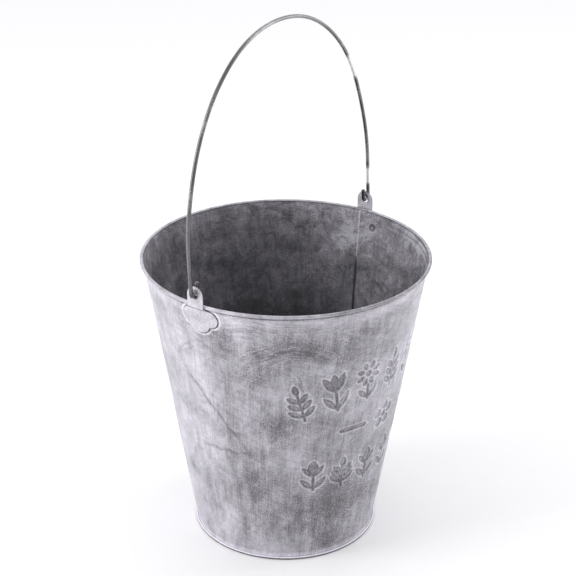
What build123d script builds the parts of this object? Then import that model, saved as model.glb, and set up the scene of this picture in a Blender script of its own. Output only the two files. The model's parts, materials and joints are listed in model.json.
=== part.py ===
from build123d import *

import os
from math import atan2, cos, degrees, radians, sin, tan

# Tapered sheet-steel florist bucket: a one-sheet wall with a wired rim and a lapped side seam,
# a base seamed round its foot, two stamped ears and a swinging wire bail.
# The origin is the centre of the base on the floor and +Z is up. The ears stand on +X and -X,
# the front faces -Y, and the bail swings about the line through the ears' holes.

# Stock
SHEET = 0.4
EAR_SHEET = 0.8
BAIL_WIRE_RADIUS = 1.75
LAYER_GAP = 0.05

# Body
RIM_RADIUS = 130.0
HEIGHT = 269.0
FOOT_RADIUS = 83.1
BEAD_RADIUS = 1.6
CURL_ANGLE = 300.0
LAP_WIDTH = 8.0
LAP_EDGE_ANGLE = 1.0

# Seam that locks the base round the foot
SEAM_RADIUS = 85.2
SEAM_HEIGHT = 2.8
SEAM_LAYER_PITCH = 0.525
HOOK_LAP = 0.8
CORNER_BEND = 0.7
FOOT_STRAIGHT = 3.2
FOOT_BEND = 4.0

# Base panel, pressed up inside the ring that the bucket stands on
PANEL_RADIUS = 71.0
PANEL_RISE = 3.0
PANEL_BEND = 1.5
PANEL_SLOPE = 60.0

# Ears
PIVOT_HEIGHT = 277.5
TAB_MID_X = 131.0
TAB_WIDTH = 16.5
NECK_WIDTH = 18.0
EAR_BEND = 1.0
CREASE_DROP = 5.2
JOG_ANGLE = 35.0
HOLE_RADIUS = 2.9
COLLAR_WIDTH = 0.9
COLLAR_RISE = 0.4
SIDE_LOBE_RADIUS = 8.2
SIDE_LOBE_OFFSET = 9.7
SIDE_LOBE_DROP = 13.6
BOTTOM_LOBE_RADIUS = 9.4
BOTTOM_LOBE_DROP = 19.3
NOTCH_FILLET = 0.8

# Bail
BAIL_LEAN = 2.24
BAIL_HALF_SPAN = 136.2
BAIL_RISE = 203.3
LEG_STRAIGHT = 34.0
SIDE_ARC_ANGLE = 32.0
HOOK_WIDTH = 8.4
HOOK_BEND = 3.0
HOOK_TIP = 11.0
TIP_ROUND = 0.5

os.makedirs("parts", exist_ok=True)

bead_centre_r = RIM_RADIUS - BEAD_RADIUS
bead_centre_z = HEIGHT - BEAD_RADIUS
core_radius = BEAD_RADIUS - SHEET - LAYER_GAP
curl_radius = BEAD_RADIUS - SHEET / 2
taper = atan2(bead_centre_r - BEAD_RADIUS + SHEET - FOOT_RADIUS, bead_centre_z)


def wall_radius(z):
    """Radius of the wall's outer face at height z."""
    at_bead = bead_centre_r - (BEAD_RADIUS - SHEET) / cos(taper)
    return at_bead - (bead_centre_z - z) * tan(taper)


# Wall: one sheet, curled outward round the rim wire and hooked up outside at the foot
wall_top = (
    bead_centre_r - curl_radius * cos(taper),
    bead_centre_z + curl_radius * sin(taper),
)
foot_mid_r = wall_radius(FOOT_STRAIGHT) - SHEET / 2 / cos(taper)
seam_outer_mid_r = SEAM_RADIUS - SHEET / 2
base_hook_mid_r = seam_outer_mid_r - 2 * SEAM_LAYER_PITCH
wall_hook_mid_r = (seam_outer_mid_r + base_hook_mid_r) / 2
wall_hook_radius = (wall_hook_mid_r - foot_mid_r) / 2
wall_hook_z = SHEET + LAYER_GAP + SHEET / 2 + wall_hook_radius

with BuildPart() as wall:
    with BuildSketch(Plane.XZ) as wall_section:
        with BuildLine() as wall_line:
            foot_hook = JernArc((foot_mid_r, wall_hook_z), (0, -1), wall_hook_radius, 180)
            Line(foot_hook @ 1, foot_hook @ 1 + Vector(0, HOOK_LAP))
            FilletPolyline(
                (foot_mid_r, wall_hook_z),
                (foot_mid_r, FOOT_STRAIGHT),
                wall_top,
                radius=FOOT_BEND,
            )
            JernArc(wall_top, (sin(taper), cos(taper)), curl_radius, -CURL_ANGLE)
        trace(line_width=SHEET)
    revolve(axis=Axis.Z)

    # Inner end of the sheet, lapped over the other end along the right side
    lap_angle = degrees(LAP_WIDTH / RIM_RADIUS)
    edge_angle = radians(LAP_EDGE_ANGLE)
    lap_plane = Plane(
        origin=(0, 0, 0),
        x_dir=(cos(edge_angle), sin(edge_angle), 0),
        z_dir=(sin(edge_angle), -cos(edge_angle), 0),
    )
    with BuildSketch(lap_plane) as lap_section:
        with BuildLine() as lap_line:
            low_r = wall_radius(FOOT_STRAIGHT + FOOT_BEND) - SHEET * 1.5 / cos(taper)
            high_r = wall_radius(bead_centre_z) - SHEET * 1.5 / cos(taper)
            Line((low_r, FOOT_STRAIGHT + FOOT_BEND), (high_r, bead_centre_z))
        trace(line_width=SHEET + LAYER_GAP)
    revolve(axis=Axis.Z, revolution_arc=-lap_angle)

wall.part.label = "wall"
export_step(wall.part, "parts/wall.step")


# Rim wire: a ring whose ends butt together inside the curl
with BuildPart() as rim_wire:
    with BuildSketch(Plane.XZ) as rim_wire_section:
        with Locations((bead_centre_r, bead_centre_z)):
            Circle(core_radius)
    revolve(axis=Axis.Z, revolution_arc=359.5)

rim_wire.part.label = "rim_wire"
export_step(rim_wire.part, "parts/rim_wire.step")


# Base: panel, step, standing ring, and an edge folded up and in over the wall's hook
step_drop = PANEL_RISE - 2 * PANEL_BEND * (1 - cos(radians(PANEL_SLOPE)))
step_length = step_drop / sin(radians(PANEL_SLOPE))
seam_top_z = SEAM_HEIGHT - SHEET / 2 - SEAM_LAYER_PITCH

with BuildPart() as base_pan:
    with BuildSketch(Plane.XZ) as base_section:
        with BuildLine() as base_line:
            panel = Line((0, SHEET / 2 + PANEL_RISE), (PANEL_RADIUS, SHEET / 2 + PANEL_RISE))
            bend_down = JernArc(panel @ 1, (1, 0), PANEL_BEND, -PANEL_SLOPE)
            step = Line(bend_down @ 1, bend_down @ 1 + (bend_down % 1) * step_length)
            bend_out = JernArc(step @ 1, step % 1, PANEL_BEND, PANEL_SLOPE)
            ring = Line(bend_out @ 1, (seam_outer_mid_r - CORNER_BEND, SHEET / 2))
            corner = JernArc(ring @ 1, (1, 0), CORNER_BEND, 90)
            edge = Line(corner @ 1, (seam_outer_mid_r, seam_top_z))
            fold = JernArc(edge @ 1, (0, 1), SEAM_LAYER_PITCH, 180)
            Line(fold @ 1, fold @ 1 - Vector(0, HOOK_LAP / 2))
        trace(line_width=SHEET)
    revolve(axis=Axis.Z)

base_pan.part.label = "base_pan"
export_step(base_pan.part, "parts/base_pan.step")


# Ears: a three-lobed flange on the wall, a crease, a neck over the bead and a tab with a hole
flange_back = LAYER_GAP / cos(taper)
flange_front = (LAYER_GAP + EAR_SHEET) / cos(taper)
flange_low_z = HEIGHT - BOTTOM_LOBE_DROP - 2 * BOTTOM_LOBE_RADIUS
crease_z = HEIGHT - CREASE_DROP
flange_mid = (flange_back + flange_front) / 2
crease = Vector(wall_radius(crease_z) + flange_mid, crease_z)
jog_run = TAB_MID_X - crease.X
tab_top_z = PIVOT_HEIGHT + TAB_WIDTH / 2

with BuildPart() as flange:
    with BuildSketch(Plane.XZ) as flange_section:
        with BuildLine() as flange_line:
            Polyline(
                (wall_radius(flange_low_z) + flange_back, flange_low_z),
                (wall_radius(flange_low_z) + flange_front, flange_low_z),
                (wall_radius(crease_z) + flange_front, crease_z),
                (wall_radius(crease_z) + flange_back, crease_z),
                close=True,
            )
        make_face()
    revolve(axis=Axis.Z)
    with BuildSketch(Plane.YZ.offset(RIM_RADIUS / 2)) as lobes:
        side_lobe_z = HEIGHT - SIDE_LOBE_DROP
        bottom_lobe_z = HEIGHT - BOTTOM_LOBE_DROP
        with Locations((-SIDE_LOBE_OFFSET, side_lobe_z), (SIDE_LOBE_OFFSET, side_lobe_z)):
            Circle(SIDE_LOBE_RADIUS)
        with Locations((0, bottom_lobe_z)):
            Circle(BOTTOM_LOBE_RADIUS)
        with Locations((0, (crease_z + bottom_lobe_z) / 2)):
            Rectangle(NECK_WIDTH, crease_z - bottom_lobe_z)
        notches = lobes.vertices().sort_by(Axis.Y)[:2]
        fillet(notches, NOTCH_FILLET)
    extrude(amount=RIM_RADIUS, mode=Mode.INTERSECT)

with BuildPart() as right_ear:
    with BuildSketch(Plane.XZ) as neck_section:
        with BuildLine() as neck_line:
            FilletPolyline(
                crease,
                (TAB_MID_X, crease_z + jog_run * tan(radians(JOG_ANGLE))),
                (TAB_MID_X, tab_top_z),
                radius=EAR_BEND,
            )
        trace(line_width=EAR_SHEET)
    extrude(amount=NECK_WIDTH / 2, both=True)
    with BuildSketch(Plane.YZ) as tab_outline:
        with BuildLine() as tab_line:
            tab_arc = CenterArc((0, PIVOT_HEIGHT), TAB_WIDTH / 2, 0, 180)
            Polyline(
                tab_arc @ 1,
                (-TAB_WIDTH / 2, HEIGHT),
                (-NECK_WIDTH / 2, crease_z),
                (-NECK_WIDTH / 2, flange_low_z),
                (NECK_WIDTH / 2, flange_low_z),
                (NECK_WIDTH / 2, crease_z),
                (TAB_WIDTH / 2, HEIGHT),
                tab_arc @ 0,
            )
        make_face()
    extrude(amount=RIM_RADIUS * 2, mode=Mode.INTERSECT)
    with BuildSketch(Plane.YZ.offset(TAB_MID_X)) as collar:
        with Locations((0, PIVOT_HEIGHT)):
            Circle(HOLE_RADIUS + COLLAR_WIDTH)
    extrude(amount=EAR_SHEET / 2 + COLLAR_RISE)
    with BuildSketch(Plane.YZ.offset(TAB_MID_X - EAR_SHEET)) as hole:
        with Locations((0, PIVOT_HEIGHT)):
            Circle(HOLE_RADIUS)
    extrude(amount=2 * EAR_SHEET + COLLAR_RISE, mode=Mode.SUBTRACT)
    add(flange.part)

right_ear.part.label = "right_ear"
export_step(right_ear.part, "parts/right_ear.step")

with BuildPart() as left_ear:
    add(right_ear.part, rotation=(0, 0, 180))

left_ear.part.label = "left_ear"
export_step(left_ear.part, "parts/left_ear.step")


# Bail: one wire. Straight legs outside the ears run into side arcs and a tighter top arc,
# and each end turns in through its ear's hole and up again inside.
# The two arc radii are the ones that give the half span and the rise.
lean = radians(BAIL_LEAN)
side = radians(SIDE_ARC_ANGLE)
arc_rise = BAIL_RISE - LEG_STRAIGHT
side_radius = (arc_rise * cos(side) - BAIL_HALF_SPAN * (1 - sin(side))) / (
    sin(side) * cos(side) - (1 - cos(side)) * (1 - sin(side))
)
top_radius = (BAIL_HALF_SPAN - side_radius * (1 - cos(side))) / cos(side)
stub_x = BAIL_HALF_SPAN - HOOK_WIDTH
bail_plane = Plane(
    origin=(0, 0, PIVOT_HEIGHT), x_dir=(1, 0, 0), z_dir=(0, -cos(lean), sin(lean))
)

with BuildPart() as bail:
    with BuildLine(bail_plane) as bail_line:
        left_stub = Line((-stub_x, HOOK_TIP), (-stub_x, HOOK_BEND))
        left_in = JernArc((-stub_x, HOOK_BEND), (0, -1), HOOK_BEND, -90)
        left_pin = Line(
            (-stub_x - HOOK_BEND, 0),
            (-BAIL_HALF_SPAN + HOOK_BEND, 0),
        )
        left_out = JernArc((-BAIL_HALF_SPAN + HOOK_BEND, 0), (-1, 0), HOOK_BEND, -90)
        left_leg = Line((-BAIL_HALF_SPAN, HOOK_BEND), (-BAIL_HALF_SPAN, LEG_STRAIGHT))
        left_side = JernArc((-BAIL_HALF_SPAN, LEG_STRAIGHT), (0, 1), side_radius, -SIDE_ARC_ANGLE)
        top = ThreePointArc(
            (-top_radius * cos(side), BAIL_RISE - top_radius * (1 - sin(side))),
            (0, BAIL_RISE),
            (top_radius * cos(side), BAIL_RISE - top_radius * (1 - sin(side))),
        )
        right_side = JernArc((BAIL_HALF_SPAN, LEG_STRAIGHT), (0, 1), side_radius, SIDE_ARC_ANGLE)
        right_leg = Line((BAIL_HALF_SPAN, HOOK_BEND), (BAIL_HALF_SPAN, LEG_STRAIGHT))
        right_out = JernArc((BAIL_HALF_SPAN - HOOK_BEND, 0), (1, 0), HOOK_BEND, 90)
        right_pin = Line(
            (stub_x + HOOK_BEND, 0),
            (BAIL_HALF_SPAN - HOOK_BEND, 0),
        )
        right_in = JernArc((stub_x, HOOK_BEND), (0, -1), HOOK_BEND, 90)
        right_stub = Line((stub_x, HOOK_TIP), (stub_x, HOOK_BEND))
    bail_path = bail_line.wire()
    with BuildSketch(Plane(origin=bail_path @ 0, z_dir=bail_path % 0)) as bail_section:
        Circle(BAIL_WIRE_RADIUS)
    sweep(path=bail_path)
    tips = bail.faces().filter_by(GeomType.PLANE)
    fillet(tips.edges(), TIP_ROUND)

bail.part.label = "bail"
export_step(bail.part, "parts/bail.step")
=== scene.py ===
import json
from math import cos, pi, radians, sin, sqrt, tan

import bpy
import numpy as np
from mathutils import Euler, Matrix, Vector
from mathutils.geometry import delaunay_2d_cdt


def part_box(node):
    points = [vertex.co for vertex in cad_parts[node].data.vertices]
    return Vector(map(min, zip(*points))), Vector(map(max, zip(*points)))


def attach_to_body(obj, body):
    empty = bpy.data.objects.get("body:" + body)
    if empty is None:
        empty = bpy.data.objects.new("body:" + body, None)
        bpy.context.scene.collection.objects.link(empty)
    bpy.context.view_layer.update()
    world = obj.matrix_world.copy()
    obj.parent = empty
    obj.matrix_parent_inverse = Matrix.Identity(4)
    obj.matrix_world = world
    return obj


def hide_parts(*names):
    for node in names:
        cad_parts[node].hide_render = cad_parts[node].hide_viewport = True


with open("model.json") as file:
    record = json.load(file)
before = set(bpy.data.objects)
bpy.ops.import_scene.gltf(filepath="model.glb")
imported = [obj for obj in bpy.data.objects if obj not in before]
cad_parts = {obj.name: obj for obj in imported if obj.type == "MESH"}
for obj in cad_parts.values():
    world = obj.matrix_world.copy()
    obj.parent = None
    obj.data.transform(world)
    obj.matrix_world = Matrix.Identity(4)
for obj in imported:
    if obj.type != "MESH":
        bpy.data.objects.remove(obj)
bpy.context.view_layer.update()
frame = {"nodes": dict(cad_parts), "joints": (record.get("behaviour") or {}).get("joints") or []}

MM = 0.001

# == Sizes from the frame and of the stock. Lengths are in millimetres; azimuths and other
# angles in tables are in degrees ==
RIM_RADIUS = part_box("wall")[1].x / MM
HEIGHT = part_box("wall")[1].z / MM
SEAM_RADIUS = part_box("base_pan")[1].x / MM
PIVOT_Z = frame["joints"][0]["pos_m"][2] / MM
SHEET = 0.4
GAP = 0.05
FOOT_RADIUS = 83.1
BEAD = 1.6  # radius of the wired rim
CURL = radians(300)
CURL_TRIM = 0.06  # keeps the round bead inside the frame's faceted one
TAPER = np.arctan2(RIM_RADIUS - 2 * BEAD + SHEET - FOOT_RADIUS, HEIGHT - BEAD)
BEAD_R = RIM_RADIUS - BEAD
BEAD_Z = HEIGHT - BEAD
SEAM_FOLD = 0.525  # radius to which the foot's hook and the base are folded


def wall_radius(z):
    """Radius of the wall's outer face at height z."""
    return BEAD_R - (BEAD - SHEET) / cos(TAPER) - (BEAD_Z - z) * tan(TAPER)


def smooth(x, low=0.0, high=1.0):
    """0 below low, 1 above high, smooth between them."""
    t = np.clip((np.asarray(x, float) - low) / (high - low), 0, 1)
    return t * t * (3 - 2 * t)


def bell(x, middle, width):
    """1 at the middle, falling smoothly to nothing about two widths away."""
    return np.exp(-(((x - middle) / width) ** 2))


def turn_from(azimuth, start):
    """Degrees from start round to azimuth, between -180 and 180."""
    return (azimuth - start + 180) % 360 - 180


# == Mesh helpers ==
def make_object(name, points, faces, materials, face_material=None, sharp=40):
    """A mesh object from points in millimetres, with smooth faces and sharp creases."""
    points = np.asarray(points, float) * MM
    used = np.unique(np.concatenate([np.ravel(f) for f in faces]))
    index = np.full(len(points), -1)
    index[used] = np.arange(len(used))
    mesh = bpy.data.meshes.new(name)
    mesh.from_pydata(points[used].tolist(), [], [index[list(f)].tolist() for f in faces])
    for material in materials:
        mesh.materials.append(material)
    if face_material is not None:
        mesh.polygons.foreach_set("material_index", np.asarray(face_material, np.int32))
    mesh.polygons.foreach_set("use_smooth", np.ones(len(mesh.polygons), bool))
    mesh.set_sharp_from_angle(angle=radians(sharp))
    mesh.update()
    thing = bpy.data.objects.new(name, mesh)
    bpy.context.scene.collection.objects.link(thing)
    return thing, used


def attach(thing, name, values):
    """A named per-point value, or vector, that a material can read."""
    values = np.asarray(values, np.float32)
    kind = "FLOAT" if values.ndim == 1 else "FLOAT_VECTOR"
    layer = thing.data.attributes.new(name, kind, "POINT")
    layer.data.foreach_set("value" if values.ndim == 1 else "vector", values.ravel())


def on_both_sides(values, shape, used):
    """A grid's values repeated for both sides of its sheet, at the points in use."""
    return np.concatenate([np.broadcast_to(values, shape).ravel()] * 2)[used]


def unit(vectors):
    return vectors / np.linalg.norm(vectors, axis=1)[:, None]


def run_length(path):
    """How far along the path each of its points is."""
    return np.concatenate([[0], np.cumsum(np.linalg.norm(np.diff(path, axis=0), axis=1))])


def walk(path, length, at):
    """Points at the given distances along a flat path."""
    return np.stack([np.interp(at, length, path[:, i]) for i in (0, 1)], 1)


def path_normals(points):
    """Unit vectors a quarter turn clockwise from the direction of travel along a path."""
    d = unit(np.gradient(np.asarray(points, float), axis=0))
    return np.stack([d[:, 1], -d[:, 0]], 1)


def arc(centre, radius, start, end, steps):
    """Points on an arc, angles in radians."""
    a = np.linspace(start, end, steps)
    return np.stack([centre[0] + radius * np.cos(a), centre[1] + radius * np.sin(a)], 1)


def sheet_sides(points, azimuth, lift=0.0, raised=0.0, normals=None):
    """Points of a turned sheet's outer and then its inner face, from its section."""
    normals = path_normals(points) if normals is None else normals
    a = np.radians(azimuth)
    sides = []
    for side in (0.5, -0.5):
        offset = lift + side * SHEET
        r = points[:, 0][:, None] + normals[:, 0][:, None] * offset
        z = points[:, 1][:, None] + normals[:, 1][:, None] * offset + raised
        sides.append(np.stack([r * np.cos(a), r * np.sin(a), z], -1).reshape(-1, 3))
    return np.concatenate(sides)


def sheet_faces(rows, columns, keep, closed=False):
    """Faces of a two-sided sheet over a grid, and the (kind, row, column) of each.

    keep says which quads are there. Edges next to a missing quad get a face across the
    sheet's thickness, so the result is closed. Kinds: 0 outer face, 1 inner face, 2 edge.
    """

    def at(r, c, side):
        return side * rows * columns + r * columns + c % columns

    faces, kinds = [], []
    for r in range(rows - 1):
        for c in range(columns if closed else columns - 1):
            if not keep[r, c]:
                continue
            corners = [(r, c), (r, c + 1), (r + 1, c + 1), (r + 1, c)]
            faces.append([at(*p, 0) for p in corners])
            kinds.append((0, r, c))
            faces.append([at(*p, 1) for p in reversed(corners)])
            kinds.append((1, r, c))
            beside = ((r - 1, c, 0), (r, c + 1, 1), (r + 1, c, 2), (r, c - 1, 3))
            for r2, c2, side in beside:
                if closed:
                    c2 %= columns
                inside = 0 <= r2 < rows - 1 and 0 <= c2 < keep.shape[1]
                if inside and keep[r2, c2]:
                    continue
                p, q = corners[side], corners[(side + 1) % 4]
                faces.append([at(*q, 0), at(*p, 0), at(*p, 1), at(*q, 1)])
                kinds.append((2, r, c))
    return faces, np.array(kinds)


# == Materials ==
class Nodes:
    """A material's or world's node tree, built one call at a time."""

    def __init__(self, owner):
        owner.use_nodes = True
        self.owner = owner
        self.tree = owner.node_tree
        self.tree.nodes.clear()

    def add(self, kind, inputs=(), out=0, **settings):
        node = self.tree.nodes.new("ShaderNode" + kind)
        for key, value in settings.items():
            setattr(node, key, value)
        for key, value in dict(inputs).items():
            socket = node.inputs[key]
            if isinstance(value, bpy.types.NodeSocket):
                self.tree.links.new(value, socket)
            else:
                socket.default_value = value
        return node.outputs[out] if len(node.outputs) else None

    def math(self, operation, a, b):
        return self.add("Math", {0: a, 1: b}, operation=operation)

    def stretched(self, vector, scale, turn=0.0):
        """The vector turned about Z and then scaled along each axis."""
        inputs = {"Vector": vector, "Angle": radians(turn)}
        turned = self.add("VectorRotate", inputs, rotation_type="Z_AXIS")
        return self.add("VectorMath", {0: turned, 1: scale}, operation="MULTIPLY")

    def noise(self, vector, scale, detail=4.0, rough=0.55, distortion=0.0):
        """Noise centred on 0, about -0.5 to 0.5."""
        inputs = {"Vector": vector, "Scale": scale, "Detail": detail}
        inputs.update({"Roughness": rough, "Distortion": distortion})
        return self.math("SUBTRACT", self.add("TexNoise", inputs), 0.5)

    def blend(self, base, *terms):
        """base plus each (socket, weight)."""
        total = base
        for socket, weight in terms:
            terms_in = {0: socket, 1: weight, 2: total}
            total = self.add("Math", terms_in, operation="MULTIPLY_ADD")
        return total

    def ramp(self, factor, *stops):
        """A colour ramp; each stop is (position, (r, g, b))."""
        node = self.tree.nodes.new("ShaderNodeValToRGB")
        self.tree.links.new(factor, node.inputs[0])
        elements = node.color_ramp.elements
        while len(elements) < len(stops):
            elements.new(0.5)
        for element, (position, colour) in zip(elements, stops):
            element.position = position
            element.color = (*colour, 1.0)
        return node.outputs[0]

    def greys(self, factor, *stops):
        """A ramp of greys; each stop is (position, linear value)."""
        return self.ramp(factor, *[(position, grey(value)) for position, value in stops])

    def remap(self, value, low, high, to_low=0.0, to_high=1.0):
        inputs = {"Value": value, "From Min": low, "From Max": high}
        inputs.update({"To Min": to_low, "To Max": to_high})
        return self.add("MapRange", inputs, interpolation_type="SMOOTHSTEP")

    def mix(self, factor, a, b):
        inputs = {"Factor": factor, "A": a, "B": b}
        return self.add("Mix", inputs, out="Result", data_type="RGBA")

    def attribute(self, name, out="Fac"):
        return self.add("Attribute", out=out, attribute_name=name)

    def finish(self, colour, roughness, metallic, height, depth, **sockets):
        """The shader, with a bump of the given depth in metres."""
        normal = self.add("Bump", {"Height": height, "Distance": depth, "Strength": 1.0})
        inputs = {"Base Color": colour, "Roughness": roughness, "Metallic": metallic}
        shader = self.add("BsdfPrincipled", {**inputs, "Normal": normal, **sockets})
        self.add("OutputMaterial", {"Surface": shader})
        return self.owner


GREY_TINT = (1.0, 0.967, 1.065)


def grey(value):
    """A lavender grey of the given linear value."""
    return tuple(value * t for t in GREY_TINT)


def cloth_strokes(n, scale):
    """The strokes left by a cloth, and how strong they are, from the sweep attribute."""
    sweep = n.attribute("sweep", "Vector")
    strokes = n.noise(n.stretched(sweep, (1.0, 0.09, 0.0)), scale, 4, 0.7, 0.25)
    return strokes, n.add("SeparateXYZ", {"Vector": sweep}, out="Z")


def washed_zinc():
    """Whitewash brushed on zinc and wiped back in streaks, with the emboss picked out by patina in
    its hollows, a painted shade line inside their edges and a painted highlight on the raised lip.
    """
    n = Nodes(bpy.data.materials.new("washed_zinc"))
    wrap = n.attribute("wrap", "Vector")
    cloud = n.noise(wrap, 22, 5, 0.62, 0.4)
    patch = n.noise(n.stretched(wrap, (1.3, 0.8, 1.0), 20), 70, 4, 0.6, 0.6)
    streak = n.noise(n.stretched(wrap, (1.0, 0.045, 1.0), 3), 620, 3, 0.6)
    broad = n.noise(n.stretched(wrap, (1.0, 0.1, 1.0), -4), 130, 3, 0.55)
    wipe = n.noise(n.stretched(wrap, (0.07, 1.0, 1.0), 24), 230, 3, 0.6, 0.6)
    grain = n.noise(wrap, 900, 3, 0.75)
    strokes, strength = cloth_strokes(n, 360)
    mottle = n.noise(wrap, 260, 3, 0.6, 0.3)
    # The wash attribute also carries painted light and shade: a lighter band above the foot, a
    # shadow line under the bead, contact shade round the ears, shade under the bead's curl, and
    # the lit top and shaded side of the foot's fold.
    wash = n.attribute("wash")
    calm = n.remap(strength, 0.1, 0.8, 1.0, 0.3)
    worn = n.math("MULTIPLY", n.remap(wash, 0.15, 0.5, 1.9, 1.0), n.attribute("grit"))
    cover = n.blend(
        wash,
        (cloud, 0.75),
        (patch, 0.55),
        (n.math("MULTIPLY", streak, calm), 0.52),
        (broad, 0.35),
        (wipe, 0.25),
        (n.math("MULTIPLY", mottle, n.attribute("grit")), 0.38),
        (n.math("MULTIPLY", grain, worn), 1.0),
        (n.math("MULTIPLY", strokes, strength), 1.5),
    )
    # Darker with patina and painted shade in the hollows, lighter with wash and a painted
    # highlight on the raised lip.
    cover = n.blend(cover, (n.attribute("recess_patina_and_shade"), -0.24), (n.attribute("ridge"), 0.30))
    stops = ((0.0, 0.10), (0.25, 0.24), (0.5, 0.42), (0.75, 0.60), (1.0, 0.79))
    colour = n.greys(cover, *stops)
    specks = n.remap(n.noise(wrap, 420, 2, 0.5), 0.21, 0.28)
    colour = n.mix(n.math("MULTIPLY", specks, 0.5), colour, (*grey(0.78), 1.0))
    roughness = n.remap(cover, 0.2, 0.9, 0.42, 0.66)
    relief = n.blend(0.0, (streak, 0.25), (grain, 0.3), (patch, 0.5))
    return n.finish(colour, roughness, 0.15, relief, 0.00022)


def dark_zinc():
    """Unwashed, oxidised zinc inside the bucket."""
    n = Nodes(bpy.data.materials.new("dark_zinc"))
    wrap = n.attribute("wrap", "Vector")
    cloud = n.noise(wrap, 26, 5, 0.65, 0.8)
    patch = n.noise(wrap, 110, 4, 0.65, 1.0)
    streak = n.noise(n.stretched(wrap, (1.0, 0.09, 1.0), 2), 420, 3, 0.6)
    broad = n.noise(n.stretched(wrap, (1.0, 0.2, 1.0), -5), 90, 3, 0.55)
    grain = n.noise(wrap, 900, 3, 0.75)
    strokes, strength = cloth_strokes(n, 330)
    # The wash attribute here also carries the painted shadow and highlight along the seam's edge
    # and the painted highlight on the lines under the rim.
    wash = n.attribute("wash")
    lit = n.remap(wash, 0.4, 0.75, 0.9, 1.6)
    tone = n.blend(
        wash,
        (cloud, 0.9),
        (n.math("MULTIPLY", patch, lit), 0.72),
        (streak, 0.26),
        (broad, 0.25),
        (n.math("MULTIPLY", grain, lit), 1.0),
        (n.math("MULTIPLY", strokes, strength), 0.7),
    )
    colour = n.greys(tone, (0.0, 0.03), (0.35, 0.10), (0.65, 0.23), (1.0, 0.50))
    roughness = n.remap(tone, 0.2, 0.8, 0.55, 0.7)
    relief = n.blend(0.0, (streak, 0.25), (grain, 0.3), (patch, 0.5))
    return n.finish(colour, roughness, 0.1, relief, 0.00022, **{"Specular IOR Level": 0.3})


def washed_plate():
    """The ears' heavier plate, evenly whitewashed, with worn edges."""
    n = Nodes(bpy.data.materials.new("washed_plate"))
    place = n.add("TexCoord", out="Object")
    cloud = n.noise(place, 120, 4, 0.6, 0.3)
    grain = n.noise(place, 900, 3, 0.6)
    streak = n.noise(n.stretched(place, (1.0, 1.0, 0.15)), 500, 3, 0.6)
    # The edge attribute darkens worn edges, the crease and the ring round the hole, and paints the
    # shadow of the wire's hook above the hole.
    tone = n.blend(0.60, (cloud, 0.9), (grain, 0.6), (streak, 0.4), (n.attribute("edge"), -0.7))
    colour = n.greys(tone, (0.1, 0.16), (0.5, 0.45), (0.8, 0.66), (1.0, 0.74))
    relief = n.blend(0.0, (grain, 0.4), (cloud, 0.5))
    return n.finish(colour, n.remap(tone, 0.3, 0.9, 0.38, 0.6), 0.15, relief, 0.00015)


def greyed_wire():
    """Dull steel wire with dark patches, smears of dried wash and painted highlights."""
    n = Nodes(bpy.data.materials.new("greyed_wire"))
    place = n.add("TexCoord", out="Object")
    cloud = n.noise(place, 45, 4, 0.6, 0.5)
    grain = n.noise(place, 700, 3, 0.65)
    tone = n.blend(n.attribute("wash"), (cloud, 0.9), (grain, 0.7))
    colour = n.ramp(
        tone,
        (0.1, (0.036, 0.030, 0.033)),
        (0.45, (0.118, 0.109, 0.114)),
        (0.75, (0.40, 0.39, 0.40)),
        (1.0, (0.80, 0.79, 0.80)),
    )
    relief = n.blend(0.0, (grain, 0.6), (cloud, 0.3))
    roughness = n.remap(tone, 0.2, 0.9, 0.20, 0.5)
    sockets = {"Coat Weight": 0.9, "Coat Roughness": 0.12, "Coat IOR": 1.7}
    return n.finish(colour, roughness, 0.5, relief, 0.0001, **sockets)


def core_steel():
    """Plain steel wire with a faint drawn grain."""
    n = Nodes(bpy.data.materials.new("core_steel"))
    place = n.add("TexCoord", out="Object")
    grain = n.noise(place, 500, 3, 0.6)
    tone = n.blend(0.5, (grain, 0.8))
    colour = n.greys(tone, (0.2, 0.2), (0.8, 0.45))
    return n.finish(colour, n.remap(tone, 0.2, 0.8, 0.3, 0.5), 0.9, grain, 0.0001)


def studio_floor():
    n = Nodes(bpy.data.materials.new("studio_floor"))
    place = n.add("TexCoord", out="Object")
    grain = n.noise(place, 40, 3, 0.5)
    colour = n.ramp(n.blend(0.5, (grain, 0.3)), (0.0, (0.90,) * 3), (1.0, (0.94,) * 3))
    return n.finish(colour, 0.9, 0.0, grain, 0.0002)


# == The embossed front: a garland of sprigs, tulips and daisies, a band with a blossom between
# two bars, and a lower row of buds and sprigs. Each motif is drawn as distances to leaves,
# stems and discs, in millimetres, negative inside. ==
FRONT = -90.0
EMBOSS_DEPTH = 1.0
RIDGE_HEIGHT = 0.3
MOTIF_SPACING = 16.3  # degrees
MOTIF_REACH = 30  # no motif goes further from its middle than this


def disc(x, y, cx, cy, r):
    return np.hypot(x - cx, y - cy) - r


def leaf(x, y, base, tip, half_width):
    """A pointed leaf from base to tip, the overlap of two circles."""
    bx, by = base
    dx, dy = tip[0] - bx, tip[1] - by
    length = sqrt(dx * dx + dy * dy)
    along = ((x - bx) * dx + (y - by) * dy) / length - length / 2
    across = np.abs((y - by) * dx - (x - bx) * dy) / length
    radius = (length * length / 4 + half_width * half_width) / (2 * half_width)
    return np.hypot(along, across + radius - half_width) - radius


def stem(x, y, start, end, radius):
    """A straight stroke with round ends."""
    sx, sy = start
    dx, dy = end[0] - sx, end[1] - sy
    t = np.clip(((x - sx) * dx + (y - sy) * dy) / (dx * dx + dy * dy), 0, 1)
    return np.hypot(x - sx - t * dx, y - sy - t * dy) - radius


def mirrored(x, y, base, tip, half_width):
    """The same leaf on both sides of the motif's stem."""
    return leaf(np.abs(x), y, base, tip, half_width)


def joined(*distances):
    """The distance to the nearest of several shapes."""
    return np.minimum.reduce(distances)


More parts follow.
